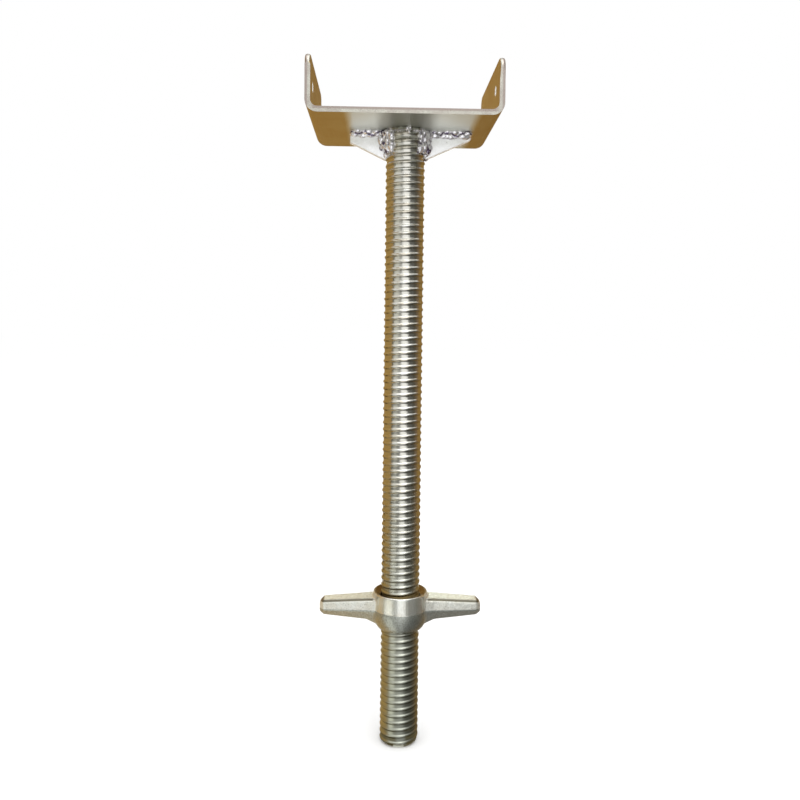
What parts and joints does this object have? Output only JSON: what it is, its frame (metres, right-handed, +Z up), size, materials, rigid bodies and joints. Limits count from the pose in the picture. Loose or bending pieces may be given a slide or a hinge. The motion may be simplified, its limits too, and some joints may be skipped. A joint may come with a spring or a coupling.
{
  "type": "u-head screw jack",
  "caption": "Zinc-plated scaffold u-head jack: threaded stem with a welded, gusseted U-shaped head plate for a beam and a cast wing nut that sets the height.",
  "frame": {"origin": "centre of the stem's lower end", "axes": "+Z up along the stem to the head, +X across the head from leg to leg, +Y along the beam"},
  "size_m": [0.177, 0.13, 0.6522],
  "materials": {
    "plate_zinc": "zinc plated sheet with a warm tint",
    "stem_zinc": "zinc plated rolled thread",
    "gusset_zinc": "zinc plated sheared plate",
    "weld_metal": "zinc plated weld bead",
    "nut_casting": "zinc plated casting"
  },
  "bodies": {
    "jack": {"u_plate": "plate_zinc", "stem": "stem_zinc", "gusset_left": "gusset_zinc", "gusset_right": "gusset_zinc", "plate_bead_left": "weld_metal", "plate_bead_right": "weld_metal", "stem_bead_left": "weld_metal", "stem_bead_right": "weld_metal", "stem_weld": "weld_metal"},
    "nut": {"wing_nut": "nut_casting"}
  },
  "joints": [
    {"name": "nut_travel", "type": "slide", "parent": "jack", "child": "nut", "axis": [0, 0, 1], "range_m": [-0.105, 0.418]}
  ]
}
